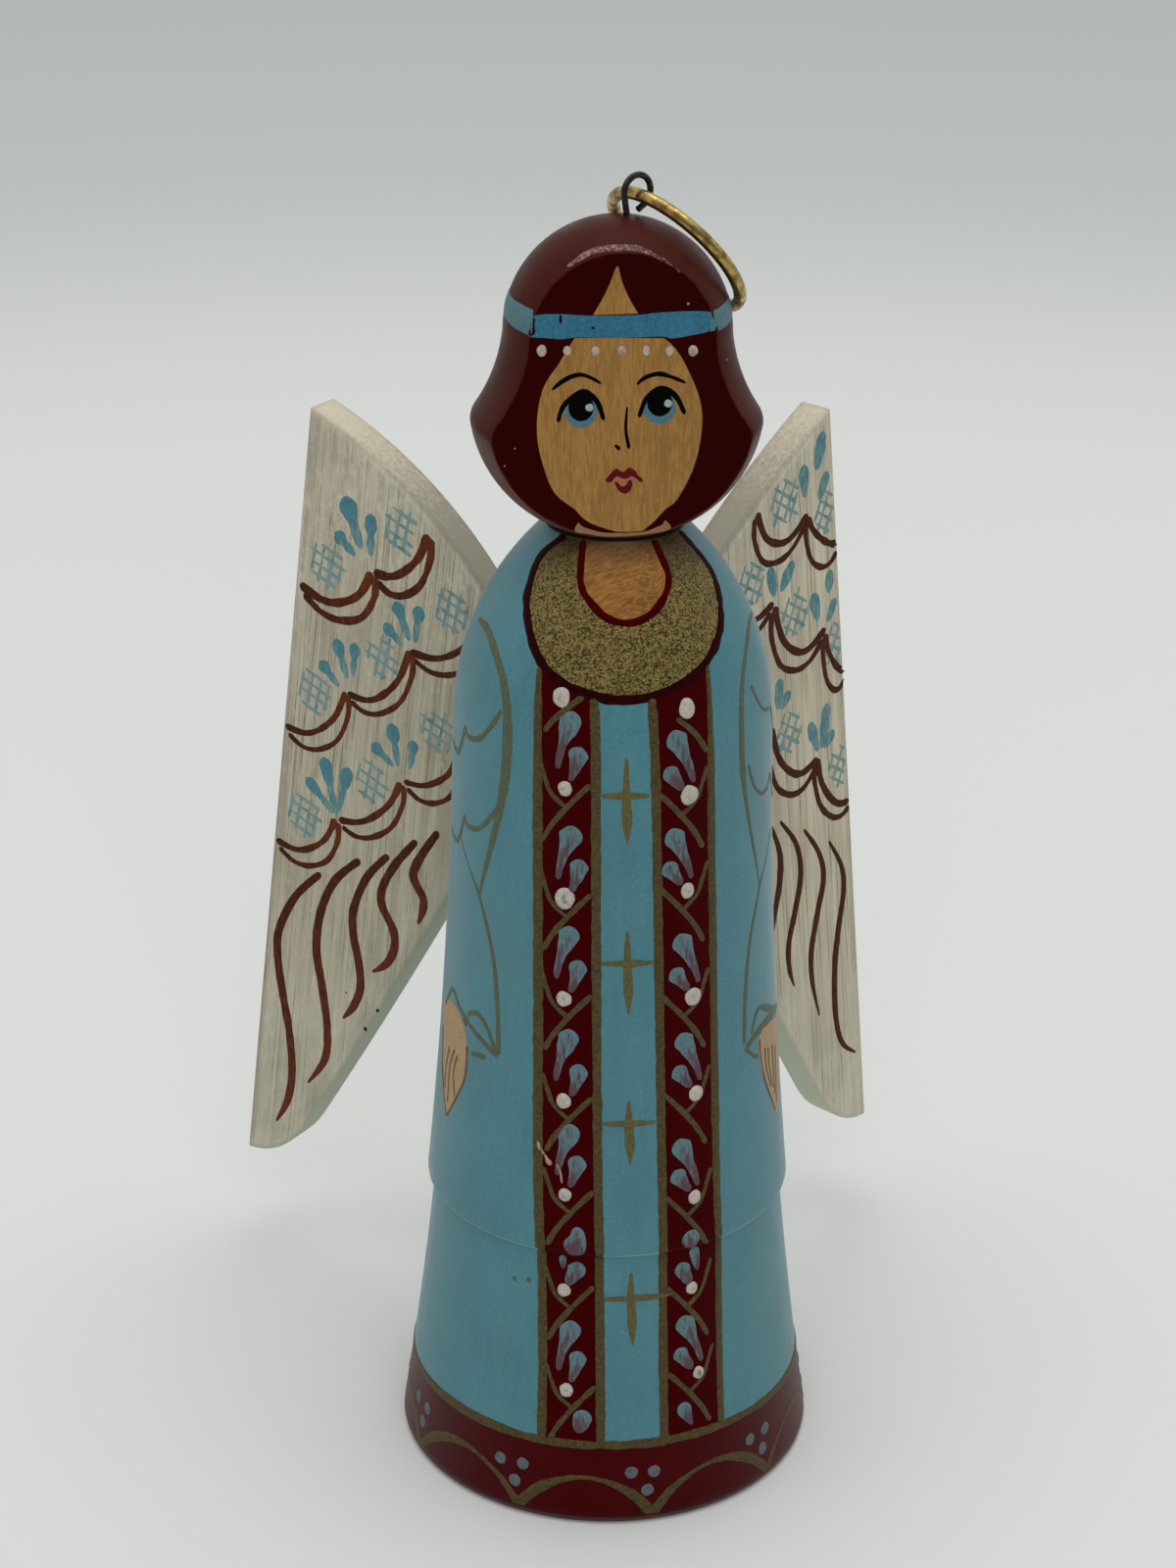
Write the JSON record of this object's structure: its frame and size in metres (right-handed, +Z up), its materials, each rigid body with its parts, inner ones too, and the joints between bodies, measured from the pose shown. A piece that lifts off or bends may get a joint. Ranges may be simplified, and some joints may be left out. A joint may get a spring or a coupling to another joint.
{
  "type": "angel ornament",
  "caption": "Turned wooden angel figure with a flat painted face, flat wings set in a groove in its back and a metal ring on its head to hang it by. It also stands on its base.",
  "frame": {"origin": "centre of the flat base that the figure stands on", "axes": "+Z up along the turning axis, the figure faces -Y, +X to the viewer's right"},
  "size_m": [0.0662, 0.0599, 0.1202],
  "materials": {
    "painted_robe": "satin paint",
    "painted_hair": "gloss paint",
    "bare_wood": "lacquered",
    "whitewashed_wood": "thin white wash",
    "black_wire": "blackened",
    "brass": "aged"
  },
  "bodies": {
    "figure": {"body": "painted_robe", "head": "painted_hair", "neck_dowel": "bare_wood", "left_wing": "whitewashed_wood", "right_wing": "whitewashed_wood", "wire_eye": "black_wire"},
    "ring": {"hanging_ring": "brass"}
  },
  "joints": [
    {"name": "ring_swing", "type": "hinge", "parent": "figure", "child": "ring", "pos_m": [0.0016, 0.0008, 0.11828], "axis": [0.5, -0.866, 0], "range_deg": [0, 260]}
  ]
}
